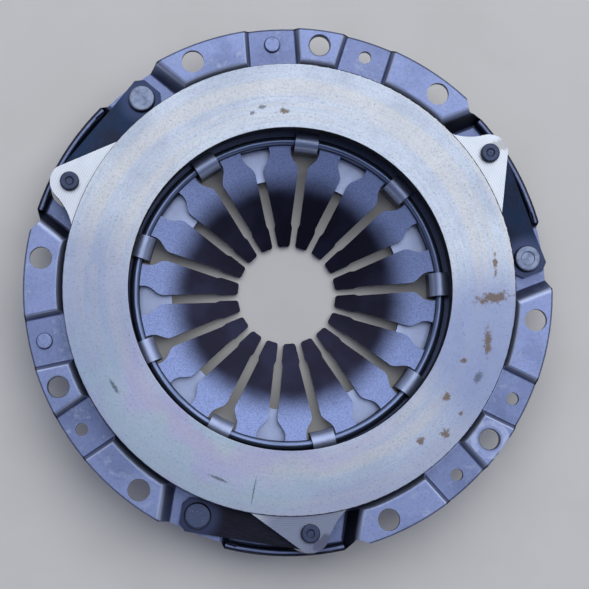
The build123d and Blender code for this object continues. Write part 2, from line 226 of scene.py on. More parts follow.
# ---- what a user may change ---------------------------------------------------------------
class ClutchFinish(bpy.types.PropertyGroup):
    """Colours and edges of the metal pieces."""

    cover_coat: colour_property("Cover coat", "Handled phosphate coat on level faces", "#8a97c1")
    # old oil, also used as painted shade in the flange's recesses
    oil_and_shade: colour_property("Oil, old", "Old oil on coated and tempered steel", "#4b5579")
    # painted shade: near black laid on walls, sides, edges and hidden parts of every piece
    painted_shade_black: colour_property("Unrubbed black", "Coat and scale that nothing rubs", "#15161f")
    # pale wear on edges and seats, also used for painted highlights and painted light
    pale_wear_and_highlight: colour_property("Rubbed coat", "Coat rubbed pale on edges and seats", "#b9c4de")
    friction_iron: colour_property("Friction face", "Fine-turned grey iron", "#c6cfdb")
    friction_worn: colour_property("Friction face, worn", "Duller tracks and clouds", "#8f99ad")
    friction_pit: colour_property("Pits", "Pits and scuffs in the iron", "#4c4f5a")
    friction_warm: colour_property("Friction face, scoured", "Tracks free of oil", "#d0cdc8")
    oil_film: colour_property("Oil film", "Dull blue film on the friction face", "#8591b6")
    # painted sheen: the lilac and green of the friction face's bands
    sheen_lilac: colour_property("Heat tint, lilac", "Lilac bands in the friction face", "#a59fca")
    sheen_green: colour_property("Heat tint, green", "Green bands in the friction face", "#9bbcc4")
    lug_iron: colour_property("Lug face", "Coarsely turned iron of the lugs", "#d5dbe2")
    rust: colour_property("Rust", "Light rust on bare iron", "#66502f")
    # near black: the casting's skin, also painted shade on the bore wall
    cast_skin_and_shade: colour_property("Cast skin", "Unmachined skin of the casting", "#17171d")
    cast_dust: colour_property("Cast skin, dusty", "Lining-dust grey on the skin", "#3a3b46")
    spring_peened: colour_property("Spring, peened", "Outer part of the fingers", "#7d8bb6")
    spring_dimple: colour_property("Spring, dimples", "Shade in the peened dimples", "#4c5679")
    # near-black colours of the fingers' inner part, also clouding the straps
    spring_tip: colour_property("Spring, tips", "Hardened tips of the fingers", "#1d1d2b")
    spring_tip_cloud: colour_property("Spring, scale", "Smooth scale on the tips", "#2f3048")
    wire_steel: colour_property("Pivot wire", "Drawn wire of the pivot rings", "#7d8cb0")
    strap_blue: colour_property("Strap, blued", "Blued spring strip", "#162842")
    strap_dark: colour_property("Strap, dark", "Strip tempered to dark grey", "#181923")
    crown_bright: colour_property("Rivet crown", "Struck crowns of cover rivets", "#8b96ae")
    crown_oily: colour_property("Rivet crown, oily", "Crown in the dark strap", "#4b5570")
    crown_dark: colour_property("Rivet crown, dark", "Crowns of the lug rivets", "#3d455c")
    edge_round: length_property("Edge round", "Rounding that tumbling leaves on edges", 0.3)


class ClutchStraps(bpy.types.PropertyGroup):
    """Sizes of one leaf of a drive strap."""

    length: length_property("Length", "End to end", 58.5)
    width: length_property("Width", "Across the leaf", 13.8)
    span: length_property("Rivet span", "Between the two rivets", 44.9)
    clamp: length_property("Clamped length", "From a rivet to where the leaf bends", 8.5)
    corner: length_property("Corner", "Cut off each corner", 2.8)
    hole: length_property("Rivet hole", "Across the hole", 6.1)
    thickness: length_property("Thickness", "Of one leaf", 0.6)


class ClutchStage(bpy.types.PropertyGroup):
    """Camera, light and floor."""

    floor_size: length_property("Floor size", "Side of the square floor", 16000.0)
    floor_colour: colour_property("Floor", "Pale matt floor", "#e6e3dd")
    floor_shade: colour_property("Floor, clouded", "Slightly darker patches", "#d8d4cb")
    zenith: colour_property("Sky overhead", "World light behind the softbox", "#d2daea")
    upper_wall: colour_property("Studio walls", "World light from the walls", "#434b69")
    backdrop: colour_property("Backdrop", "Pale studio wall behind the floor", "#dddfe3")
    camera_distance: length_property("Camera distance", "From the mounting plane", 700.0)
    camera_turn: angle_property("Camera turn", "Turn of the view about the axis", -7.08)
    camera_pitch: angle_property("Camera pitch", "Lean to the view's lower edge", -4.07)
    camera_yaw: angle_property("Camera yaw", "Lean to the view's left edge", 3.78)
    view_angle: angle_property("View angle", "Angle that the view spans", 19.12)
    aim: FloatVectorProperty(
        name="Camera offset",
        description="Shift of the clutch axis from the middle of the view",
        default=(-1.63 * MM, 20.98 * MM),
        size=2,
        subtype="TRANSLATION",
        unit="LENGTH",
    )
    lens_shift: FloatProperty(
        name="Lens shift",
        description="Upward shift of the lens, as a share of the view",
        default=0.08,
        subtype="FACTOR",
    )
    softbox_size: FloatVectorProperty(
        name="Softbox size",
        description="Width and height of the soft panel",
        default=(2.2, 1.8),
        size=2,
        subtype="TRANSLATION",
        unit="LENGTH",
    )
    softbox_height: length_property("Softbox height", "Over the mounting plane", 1400.0)
    softbox_shift: length_property("Softbox shift", "Towards the view's upper edge", 700.0)
    softbox_side: length_property("Softbox side shift", "Towards the view's right edge", 350.0)
    softbox_power: FloatProperty(
        name="Softbox power",
        description="Light given off by the soft panel",
        default=12.0,
        min=0.0,
        unit="POWER",
    )


# ---- nodes --------------------------------------------------------------------------------
def add_node(tree, kind, inputs=None, **settings):
    """Adds a node with its settings and gives its inputs values, sockets or whole nodes.

    A whole node stands for its first live output."""
    node = tree.nodes.new("ShaderNode" + kind)
    for name, setting in settings.items():
        setattr(node, name, setting)
    for key, value in (inputs or {}).items():
        socket = node.inputs[key]
        if isinstance(value, bpy.types.Node):
            value = next(output for output in value.outputs if output.enabled)
        if isinstance(value, bpy.types.NodeSocket):
            tree.links.new(value, socket)
        elif socket.type == "RGBA":
            socket.default_value = (*value, 1.0)
        else:
            socket.default_value = value
    return node


def new_material(name):
    """An empty node material and its tree."""
    material = bpy.data.materials.new(name)
    material.use_nodes = True
    material.node_tree.nodes.clear()
    return material, material.node_tree


def survey(tree):
    """Where a point of the surface is, and how level the surface is there, from 0 to 1."""
    coordinates = add_node(tree, "TexCoord")
    point = coordinates.outputs["Object"]
    x, y, height = add_node(tree, "SeparateXYZ", {"Vector": point}).outputs
    flat = add_node(tree, "VectorMath", {0: point, 1: (1.0, 1.0, 0.0)}, operation="MULTIPLY")
    radius = add_node(tree, "VectorMath", {0: flat}, operation="LENGTH").outputs["Value"]
    angle = add_node(tree, "Math", {0: y, 1: x}, operation="ARCTAN2")
    facing = add_node(tree, "SeparateXYZ", {"Vector": coordinates.outputs["Normal"]})
    level = add_node(tree, "Math", {0: facing.outputs["Z"]}, operation="ABSOLUTE")
    return Place(point, radius, angle, height, level)


def lay_over(tree, colour, tint, mask, start, full, most=1.0):
    """Paints a tint over a colour: none of it where the mask is at start, most at full."""
    share = add_node(
        tree,
        "MapRange",
        {"Value": mask, "From Min": start, "From Max": full, "To Max": most},
        interpolation_type="SMOOTHSTEP",
    )
    return add_node(tree, "Mix", {0: share, 6: colour, 7: tint}, data_type="RGBA")


def spot(tree, point, centre, size, turn=0.0):
    """1 at a place on the surface, 0 at the edge of an oval round it and less beyond."""
    reach = (*size, 20 * MM)
    inside = add_node(
        tree,
        "Mapping",
        {"Vector": point, "Location": centre, "Rotation": (0.0, 0.0, turn), "Scale": reach},
        vector_type="TEXTURE",
    )
    away = add_node(tree, "VectorMath", {0: inside}, operation="LENGTH")
    return add_node(tree, "Math", {0: 1.0, 1: away.outputs["Value"]}, operation="SUBTRACT")


def face_marks(tree, point, marks):
    """1 at the middle of each mark on the friction face and 0 at its edge."""
    masks = []
    for radius, angle, length, width, lean in marks:
        size = (length * MM, width * MM)
        masks.append(spot(tree, point, on_face(radius, angle), size, math.radians(lean)))
    strongest = masks[0]
    for mask in masks[1:]:
        strongest = add_node(tree, "Math", {0: strongest, 1: mask}, operation="MAXIMUM")
    return strongest


def surface(tree, colour, roughness, relief, depth, metallic):
    """Ends a material's nodes: its shader, its relief as bump, and the output."""
    bump = add_node(tree, "Bump", {"Height": relief, "Distance": depth, "Strength": 1.0})
    inputs = {"Base Color": colour, "Roughness": roughness, "Normal": bump, "Metallic": metallic}
    shader = add_node(tree, "BsdfPrincipled", inputs)
    add_node(tree, "OutputMaterial", {"Surface": shader})


# ---- materials ----------------------------------------------------------------------------
def phosphated_pressed_steel(finish):
    """Drawing steel, pressed, zinc-phosphated and oiled.

    The coat is painted nearly black as shade on walls and in corners, and darker in the recesses.
    The level faces have been handled to a satin blue grey with cloudy oil marks; seats are rubbed
    pale, edges partly rubbed and partly painted as highlights, and the upper bends, the dish bottom
    and the tabs are painted paler as light."""
    material, tree = new_material("phosphated_pressed_steel")
    at = survey(tree)
    cloud = add_node(tree, "TexNoise", {"Vector": at.point, "Scale": 1 / (24 * MM), "Detail": 4.0})
    smear = add_node(
        tree,
        "TexNoise",
        {"Vector": at.point, "Scale": 1 / (6 * MM), "Detail": 6.0, "Roughness": 0.65},
    )
    # phosphate crystals of 0.02 mm don't show, so they are drawn 1.1 mm across
    crystal = add_node(
        tree,
        "TexNoise",
        {"Vector": at.point, "Scale": 1 / (1.1 * MM), "Detail": 3.0, "Roughness": 0.7},
    )
    edge = add_node(tree, "Attribute", attribute_name="rounded_edge").outputs["Fac"]
    colour = lay_over(tree, finish.cover_coat, finish.oil_and_shade, cloud, 0.47, 0.72, most=0.45)
    # painted shade: the recessed parts of the flange are darkened with the oil colour
    flange = add_node(tree, "Math", {0: at.radius, 1: FLANGE_START}, operation="GREATER_THAN")
    sunk_shade = add_node(tree, "Math", {0: at.height, 1: flange}, operation="MULTIPLY")
    colour = lay_over(tree, colour, finish.oil_and_shade, sunk_shade, PRESSED_DOWN, PRESSED_DEEP, most=0.35)
    colour = lay_over(tree, colour, finish.pale_wear_and_highlight, smear, 0.53, 0.72, most=0.45)
    colour = lay_over(tree, colour, finish.oil_and_shade, crystal, 0.45, 0.75, most=0.35)
    # painted light: the bottom of the dish and the bent tabs are painted paler
    colour = lay_over(
        tree, colour, finish.pale_wear_and_highlight, at.radius, PAINTED_LIGHT_START, PAINTED_LIGHT_FULL, most=0.5
    )
    # painted highlight: the upper bends of the flange are painted as a pale line
    upper = add_node(tree, "Math", {0: at.height, 1: PRESSED_DOWN}, operation="GREATER_THAN")
    bend_highlight = add_node(tree, "Math", {0: upper, 1: at.level}, operation="SUBTRACT")
    colour = lay_over(tree, colour, finish.pale_wear_and_highlight, bend_highlight, 0.005, 0.05, most=0.7)
    # painted shade: the coat is painted black where the sheet stands up, and soonest on the flange;
    # the bays' rounded rims and the sheared outline are painted darker still
    low = add_node(tree, "Math", {0: at.height, 1: BAY_RIM_TOP}, operation="LESS_THAN")
    outer = add_node(tree, "Math", {0: at.radius, 1: BAY_RIM_START}, operation="GREATER_THAN")
    rim = add_node(tree, "Math", {0: low, 1: outer}, operation="MULTIPLY")
    outline = add_node(tree, "Math", {0: at.radius, 1: OUTLINE_START}, operation="GREATER_THAN")
    # rubbed is how level the face is, lowered on rims, flange and outline; where it is low the coat
    # is painted black as shade
    rubbed = at.level
    for place, shade in ((rim, 0.3), (flange, 0.4), (outline, 0.5)):
        rubbed = add_node(tree, "Math", {0: place, 1: -shade, 2: rubbed}, operation="MULTIPLY_ADD")
    colour = lay_over(tree, colour, finish.painted_shade_black, rubbed, 0.45, -0.05, most=0.92)
    # the rounded edges of level faces are made pale: partly rubbed wear, partly painted highlight
    edge_wear_and_highlight = add_node(tree, "Math", {0: edge, 1: smear}, operation="MULTIPLY")
    edge_wear_and_highlight = add_node(tree, "Math", {0: edge_wear_and_highlight, 1: at.level}, operation="MULTIPLY")
    colour = lay_over(tree, colour, finish.pale_wear_and_highlight, edge_wear_and_highlight, 0.3, 0.5, most=0.6)
    # the press has coined a bright ring round one dowel hole
    off_hole = add_node(tree, "Math", {0: at.angle, 1: COINED_HOLE}, operation="SUBTRACT")
    ring = add_node(tree, "CombineXYZ", {"X": at.radius, "Y": off_hole})
    hole = (PITCH_RADIUS, 0.0, 0.0)
    to_length = (1.0, PITCH_RADIUS, 0.0)
    away = add_node(tree, "VectorMath", {0: ring, 1: hole}, operation="SUBTRACT")
    away = add_node(tree, "VectorMath", {0: away, 1: to_length}, operation="MULTIPLY")
    gap = add_node(tree, "VectorMath", {0: away}, operation="LENGTH").outputs["Value"]
    band = add_node(
        tree, "Math", {0: gap, 1: COINED_RING, 2: COINED_HALF_WIDTH}, operation="COMPARE"
    )
    band = add_node(tree, "Math", {0: band, 1: upper}, operation="MULTIPLY")
    coined = add_node(tree, "Math", {0: band, 1: smear}, operation="MULTIPLY")
    colour = lay_over(tree, colour, finish.pale_wear_and_highlight, coined, 0.35, 0.6, most=0.55)
    roughness = add_node(tree, "Math", {0: smear, 1: 0.3, 2: 0.24}, operation="MULTIPLY_ADD")
    surface(tree, colour, roughness, crystal, depth=0.01 * MM, metallic=0.75)
    return material


def friction_face(tree, finish, at, cloud, grit):
    """Colours of the friction face: tracks, oil, painted sheen bands, pits, rust and scuffs."""
    # feed marks of 0.25 mm don't show, so they are drawn 0.8 mm apart
    turns = add_node(tree, "Math", {0: at.radius, 1: 0.8 * MM}, operation="DIVIDE")
    sweep = add_node(tree, "Math", {0: at.angle, 1: 3.0}, operation="MULTIPLY")
    track = add_node(tree, "CombineXYZ", {"X": turns, "Y": sweep})
    streak = add_node(
        tree, "TexNoise", {"Vector": track, "Scale": 1.0, "Detail": 3.0, "Roughness": 0.6}
    )
    smooth = add_node(tree, "TexNoise", {"Vector": track, "Scale": 0.12, "Detail": 3.0})
    face = lay_over(tree, finish.friction_iron, finish.friction_worn, streak, 0.35, 0.75, most=0.3)
    face = lay_over(tree, face, finish.friction_worn, cloud, 0.42, 0.68, most=0.38)
    face = lay_over(tree, face, finish.friction_warm, smooth, 0.42, 0.62, most=0.6)
    face = lay_over(tree, face, finish.friction_worn, grit, 0.42, 0.6, most=0.3)
    # oil has spread over the -Y half, most at its two ends, and it is thicker along the rim
    for radius, angle, length, width, strength in OIL_FILMS:
        film = spot(tree, at.point, on_face(radius, angle), (length * MM, width * MM))
        face = lay_over(tree, face, finish.oil_film, film, 0.0, 0.6, most=strength)
    rim = lay_over(
        tree, face, finish.oil_film, at.radius, OILY_RIM_START, OILY_RIM_FULL, most=0.4
    )
    face = lay_over(tree, face, rim, film, 0.0, 0.5)
    # painted sheen: lilac and green bands of sheen are painted in rings over part of the face
    sheen_area = spot(tree, at.point, on_face(70, -120), (130 * MM, 75 * MM), math.radians(7))
    bands = add_node(
        tree, "Math", {0: cloud, 1: SHEEN_WANDER, 2: at.radius}, operation="MULTIPLY_ADD"
    )
    lilac_sheen = add_node(tree, "Math", {0: bands, 1: SHEEN_BAND}, operation="PINGPONG")
    green_sheen = add_node(tree, "Math", {0: SHEEN_BAND, 1: lilac_sheen}, operation="SUBTRACT")
    for tint, band, strength in ((finish.sheen_lilac, lilac_sheen, 0.45), (finish.sheen_green, green_sheen, 0.32)):
        band = add_node(tree, "Math", {0: band, 1: sheen_area}, operation="MULTIPLY")
        face = lay_over(tree, face, tint, band, 3 * MM, 9 * MM, most=strength)
    face = lay_over(tree, face, finish.friction_pit, grit, 0.6, 0.7, most=0.6)
    fleck = add_node(
        tree,
        "TexNoise",
        {"Vector": at.point, "Scale": 1 / (2.2 * MM), "Detail": 6.0, "Roughness": 0.75},
    )
    rusty = face_marks(tree, at.point, RUST_SPOTS)
    ragged = add_node(tree, "Math", {0: fleck, 1: 2.6, 2: rusty}, operation="MULTIPLY_ADD")
    face = lay_over(tree, face, finish.rust, ragged, 1.6, 2.0, most=0.8)
    scuffed = face_marks(tree, at.point, SCUFFS)
    ragged = add_node(tree, "Math", {0: grit, 1: 1.2, 2: scuffed}, operation="MULTIPLY_ADD")
    return lay_over(tree, face, finish.friction_pit, ragged, 0.8, 1.3, most=0.7)


def lug_faces(tree, finish, at, groove, blotch):
    """Colours of the lugs: coarse turned lines, rust by two rivets and one lug darker."""
    lug = lay_over(
        tree, finish.lug_iron, finish.friction_worn, groove, 0.3 * MM, 0.45 * MM, most=0.45
    )
    for rivet, shift_x, shift_y, strength in LUG_STAINS:
        centre = middle_of(rivet) + Vector((shift_x * MM, shift_y * MM, 0.0))
        stain = spot(tree, at.point, centre, (9 * MM, 5 * MM), math.radians(35))
        ragged = add_node(tree, "Math", {0: blotch, 1: 1.6, 2: stain}, operation="MULTIPLY_ADD")
        lug = lay_over(tree, lug, finish.rust, ragged, 1.1, 1.5, most=strength)
    # lug 3 and the iron round it are darker
    oily = spot(tree, at.point, middle_of("lug_rivet_3"), (30 * MM, 22 * MM))
    return lay_over(tree, lug, finish.oil_and_shade, oily, 0.0, 0.5, most=0.72)


def turned_grey_iron(finish):
    """Grey cast iron: the friction face turned fine, the lugs turned coarse, the rest as cast and
    near black, which on the bore is painted shade.

    The tool leaves fine rings about the axis on the face and coarse ones on the lugs. Faint lilac
    and green bands of sheen are painted on the face, and bare iron has begun to rust in spots."""
    material, tree = new_material("turned_grey_iron")
    at = survey(tree)
    cloud = add_node(tree, "TexNoise", {"Vector": at.point, "Scale": 1 / (32 * MM), "Detail": 4.0})
    blotch = add_node(
        tree,
        "TexNoise",
        {"Vector": at.point, "Scale": 1 / (5 * MM), "Detail": 6.0, "Roughness": 0.7},
    )
    # graphite pits of 0.2 mm are drawn 0.8 mm across
    grit = add_node(
        tree,
        "TexNoise",
        {"Vector": at.point, "Scale": 1 / (0.8 * MM), "Detail": 4.0, "Roughness": 0.75},
    )
    # the coarse feed is 0.9 mm, up one flank of a groove and down the other
    groove = add_node(tree, "Math", {0: at.radius, 1: 0.45 * MM}, operation="PINGPONG")
    face = friction_face(tree, finish, at, cloud, grit)
    lug = lug_faces(tree, finish, at, groove, blotch)
    # faces that are not level take the near-black skin: the casting's own skin, and painted shade
    # on the bore wall
    skin = lay_over(tree, finish.cast_skin_and_shade, finish.cast_dust, blotch, 0.4, 0.7, most=0.6)
    skin = lay_over(tree, skin, finish.cast_dust, grit, 0.5, 0.75, most=0.4)
    outside = add_node(tree, "Math", {0: at.radius, 1: FACE_EDGE}, operation="GREATER_THAN")
    lowest_cut = FRICTION_HEIGHT - LUG_DROP
    high = add_node(tree, "Math", {0: at.height, 1: lowest_cut}, operation="GREATER_THAN")
    machined = add_node(tree, "Math", {0: at.level, 1: high}, operation="MULTIPLY")
    cut = add_node(tree, "Mix", {0: outside, 6: face, 7: lug}, data_type="RGBA")
    colour = lay_over(tree, skin, cut, machined, 0.8, 0.97)
    rough_cut = add_node(tree, "Math", {0: blotch, 1: 0.2, 2: 0.3}, operation="MULTIPLY_ADD")
    rough_skin = 0.72
    roughness = add_node(
        tree, "Mix", {0: machined, 2: rough_skin, 3: rough_cut}, data_type="FLOAT"
    )
    # a groove's flank counts for 0.7 of the grit's height
    relief = add_node(tree, "Math", {0: groove, 1: outside}, operation="MULTIPLY")
    relief = add_node(tree, "Math", {0: relief, 1: 1.5 / MM, 2: grit}, operation="MULTIPLY_ADD")
    surface(tree, colour, roughness, relief, depth=0.02 * MM, metallic=0.75)
    return material


def peened_spring_steel(finish):
    """Chrome-vanadium spring steel: hardened, shot-peened, and induction-hardened at the tips.

    Peening leaves a fine even sparkle that catches light from everywhere. The tips are nearly black
    out to about 42 to 56 mm. Walls, punched edges and what lies behind the pivot ring are painted
    black as shade."""
    material, tree = new_material("peened_spring_steel")
    at = survey(tree)
    cloud = add_node(tree, "TexNoise", {"Vector": at.point, "Scale": 1 / (18 * MM), "Detail": 3.0})
    # shot dimples of 0.3 mm are drawn 0.6 mm across, as fine as they show
    dimple = add_node(
        tree,
        "TexNoise",
        {"Vector": at.point, "Scale": 1 / (0.6 * MM), "Detail": 2.0, "Roughness": 0.6},
    )
    edge = add_node(tree, "Attribute", attribute_name="rounded_edge").outputs["Fac"]
    peened = lay_over(
        tree, finish.spring_peened, finish.spring_dimple, dimple, 0.35, 0.7, most=0.45
    )
    tips = lay_over(tree, finish.spring_tip, finish.spring_tip_cloud, cloud, 0.4, 0.7, most=0.5)
    # the edge of the dark tips wanders by up to 5 mm
    reach = add_node(tree, "Math", {0: cloud, 1: 5 * MM, 2: at.radius}, operation="MULTIPLY_ADD")
    colour = lay_over(tree, tips, peened, reach, DARK_TIP_END, PEENED_START)
    # painted shade: walls, punched edges and what lies behind the pivot ring are painted black
    colour = lay_over(tree, colour, finish.painted_shade_black, at.level, 0.9, 0.5, most=0.9)
    colour = lay_over(
        tree, colour, finish.painted_shade_black, at.radius, RING_SHADE_START, RING_SHADE_FULL, most=0.85
    )
    colour = lay_over(tree, colour, finish.painted_shade_black, edge, 0.0, 1.0, most=0.7)
    roughness = add_node(tree, "Math", {0: dimple, 1: 0.12, 2: 0.27}, operation="MULTIPLY_ADD")
    surface(tree, colour, roughness, dimple, depth=0.03 * MM, metallic=0.92)
    return material


def drawn_spring_wire(finish):
    """Cold-drawn oil-tempered wire.

    It is smooth with a clear line of light, and has faint die lines along its length."""
    material, tree = new_material("drawn_spring_wire")
    at = survey(tree)
    # die lines of 0.05 mm are drawn 0.5 mm apart
    across = add_node(tree, "Math", {0: at.radius, 1: at.height}, operation="ADD")
    turns = add_node(tree, "Math", {0: across, 1: 0.5 * MM}, operation="DIVIDE")
    sweep = add_node(tree, "Math", {0: at.angle, 1: 5.0}, operation="MULTIPLY")
    track = add_node(tree, "CombineXYZ", {"X": turns, "Y": sweep})
    line = add_node(tree, "TexNoise", {"Vector": track, "Scale": 1.0, "Detail": 3.0})
    colour = lay_over(tree, finish.wire_steel, finish.oil_and_shade, line, 0.4, 0.75, most=0.6)
    # painted shade: the wire's sides are painted black
    colour = lay_over(tree, colour, finish.painted_shade_black, at.level, 0.75, 0.2, most=0.85)
    roughness = add_node(tree, "Math", {0: line, 1: 0.2, 2: 0.22}, operation="MULTIPLY_ADD")
    surface(tree, colour, roughness, line, depth=0.004 * MM, metallic=0.85)
    return material


def tempered_strip(name, temper, finish, turn, rivet):
    """Hardened and tempered spring strip, rolled bright and left in its temper colour.

    It is smooth and dark, with rolling lines along it, and paler where the rivet's die bore."""
    material, tree = new_material(name)
    at = survey(tree)
    # rolling lines of 0.05 mm are drawn 0.5 mm apart and 24 mm long
    grain = (24 * MM, 0.5 * MM, 0.5 * MM)
    along = add_node(
        tree,
        "Mapping",
        {"Vector": at.point, "Rotation": (0.0, 0.0, turn), "Scale": grain},
        vector_type="TEXTURE",
    )
    line = add_node(
        tree, "TexNoise", {"Vector": along, "Scale": 1.0, "Detail": 3.0, "Roughness": 0.6}
    )
    cloud = add_node(tree, "TexNoise", {"Vector": at.point, "Scale": 1 / (12 * MM), "Detail": 4.0})
    colour = lay_over(tree, temper, finish.spring_tip, cloud, 0.35, 0.7, most=0.7)
    colour = lay_over(tree, colour, finish.oil_and_shade, line, 0.5, 0.8, most=0.25)
    pressed = spot(tree, at.point, rivet, (13 * MM, 13 * MM))
    colour = lay_over(tree, colour, finish.oil_and_shade, pressed, 0.1, 0.6, most=0.5)
    # painted shade: the strip's sides are painted black
    colour = lay_over(tree, colour, finish.painted_shade_black, at.level, 0.8, 0.4, most=0.8)
    roughness = add_node(tree, "Math", {0: line, 1: 0.2, 2: 0.26}, operation="MULTIPLY_ADD")
    surface(tree, colour, roughness, line, depth=0.004 * MM, metallic=0.8)
    return material


def cold_headed_rivet(name, crown, finish):
    """Cold-headed rivet steel.

    The struck crown is scuffed and catches the light; the rolled side of the head is painted dark
    as shade."""
    material, tree = new_material(name)
    at = survey(tree)
    scuff = add_node(
        tree,
        "TexNoise",
        {"Vector": at.point, "Scale": 1 / (2.5 * MM), "Detail": 5.0, "Roughness": 0.65},
    )
    # the die's bite of 0.1 mm is drawn 0.6 mm across
    grit = add_node(tree, "TexNoise", {"Vector": at.point, "Scale": 1 / (0.6 * MM), "Detail": 2.0})
    colour = lay_over(tree, crown, finish.oil_and_shade, scuff, 0.4, 0.7, most=0.5)
    colour = lay_over(tree, colour, finish.pale_wear_and_highlight, grit, 0.6, 0.8, most=0.4)
    # painted shade: the sides of the head are painted black
    colour = lay_over(tree, colour, finish.painted_shade_black, at.level, 0.95, 0.5, most=0.9)
    roughness = add_node(tree, "Math", {0: scuff, 1: 0.3, 2: 0.28}, operation="MULTIPLY_ADD")
    surface(tree, colour, roughness, grit, depth=0.015 * MM, metallic=0.7)
    return material


def matt_painted_floor(stage):
    """Matt floor paint, rolled on.

    It has no shine, faint clouds and the fine stipple of the roller."""
    material, tree = new_material("matt_painted_floor")
    point = add_node(tree, "TexCoord").outputs["Object"]
    tint = add_node(tree, "TexNoise", {"Vector": point, "Scale": 1 / (40 * MM), "Detail": 4.0})
    grit = add_node(tree, "TexNoise", {"Vector": point, "Scale": 1 / (1 * MM), "Detail": 2.0})
    colour = lay_over(tree, stage.floor_colour, stage.floor_shade, tint, 0.4, 0.7, most=0.25)
    surface(tree, colour, 0.85, grit, depth=0.02 * MM, metallic=0.0)
    return material


# ---- shaping ------------------------------------------------------------------------------
def pick_only(piece):
    """Selects one object and makes it active."""
    bpy.ops.object.select_all(action="DESELECT")
    piece.select_set(True)
    bpy.context.view_layer.objects.active = piece


def apply_modifier(piece, kind, **settings):
    """Adds a modifier with its settings and applies it."""
    modifier = piece.modifiers.new(kind.lower(), kind)
    for name, setting in settings.items():
        setattr(modifier, name, setting)
    pick_only(piece)
    bpy.ops.object.modifier_apply(modifier=modifier.name)


def dress(piece, material):
    """Gives a piece one material."""
    piece.data.materials.clear()
    piece.data.materials.append(material)


def body_of(node):
    """The body that carries a CAD node."""
    bodies = frame["record"]["behaviour"]["bodies"]
    return next(body for body, nodes in bodies.items() if node in nodes)


def stand_for(piece, node, material):
    """Lets a finished piece take a CAD node's place: gives it the material and hides the node."""
    dress(piece, material)
    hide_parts(node)


def softened_copy(node, name, edge_round):
    """The node's own shape, its triangles joined and its sharp edges tumbled round.

    The attribute rounded_edge is 1 on those edges."""
    piece = bpy.data.objects.new(name, frame["nodes"][node].data.copy())
    bpy.context.scene.collection.objects.link(piece)
    pick_only(piece)
    bpy.ops.mesh.customdata_custom_splitnormals_clear()
    bpy.ops.object.mode_set(mode="EDIT")
    bpy.ops.mesh.select_all(action="SELECT")
    bpy.ops.mesh.remove_doubles(threshold=MERGE_DISTANCE)
    bpy.ops.mesh.dissolve_limited(angle_limit=FLAT_ANGLE, delimit={"NORMAL"})
    bpy.ops.object.mode_set(mode="OBJECT")
    # the bevel's faces take a second material, by which they are found again
    piece.data.materials.append(None)
    apply_modifier(
        piece,
        "BEVEL",
        width=edge_round,
        segments=2,
        limit_method="ANGLE",
        angle_limit=SHARP_ANGLE,
        use_clamp_overlap=True,
        material=1,
    )
    rounded = [face.material_index for face in piece.data.polygons]
    rubbed = piece.data.attributes.new("rounded_edge", "FLOAT", "FACE")
    rubbed.data.foreach_set("value", rounded)
    piece.data.polygons.foreach_set("material_index", [0] * len(rounded))
    pick_only(piece)
    bpy.ops.object.shade_smooth_by_angle(angle=SMOOTH_ANGLE)
    apply_modifier(piece, "WEIGHTED_NORMAL", keep_sharp=True, weight=60)
    return piece


def finish_node(node, name, edge_round, material):
    """A softened copy of a node in its place, riding on its body."""
    piece = softened_copy(node, name, edge_round)
    stand_for(piece, node, material)
    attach(piece, body_of(node))
    return piece


# ---- operators ----------------------------------------------------------------------------
class CLUTCH_OT_cover(bpy.types.Operator):
    """Round and coat the pressed cover"""

    bl_idname = "clutch.cover"
    bl_label = "Finish Cover"

    def execute(self, context):
        finish = context.scene.clutch_finish
        steel = phosphated_pressed_steel(finish)
        finish_node("cover", "pressed_cover", COVER_ROUND * finish.edge_round, steel)
        return {"FINISHED"}


class CLUTCH_OT_plate(bpy.types.Operator):
    """Round and turn the pressure plate casting"""

    bl_idname = "clutch.plate"
    bl_label = "Finish Pressure Plate"

    def execute(self, context):
        finish = context.scene.clutch_finish
        edge_round = PLATE_ROUND * finish.edge_round
        iron = turned_grey_iron(finish)
        finish_node("pressure_plate", "turned_pressure_plate", edge_round, iron)
        return {"FINISHED"}


class CLUTCH_OT_spring(bpy.types.Operator):
    """Round and peen the diaphragm spring"""

    bl_idname = "clutch.spring"
    bl_label = "Finish Diaphragm Spring"

    def execute(self, context):
        finish = context.scene.clutch_finish
        steel = peened_spring_steel(finish)
        piece = finish_node("diaphragm_spring", "fingered_spring", finish.edge_round, steel)
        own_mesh(piece)
        return {"FINISHED"}


class CLUTCH_OT_rings(bpy.types.Operator):
    """Finish the two pivot rings"""

    bl_idname = "clutch.rings"
    bl_label = "Finish Pivot Rings"

    def execute(self, context):
        wire = drawn_spring_wire(context.scene.clutch_finish)
        for node in ("upper_pivot_ring", "lower_pivot_ring"):
            dress(frame["nodes"][node], wire)
        return {"FINISHED"}


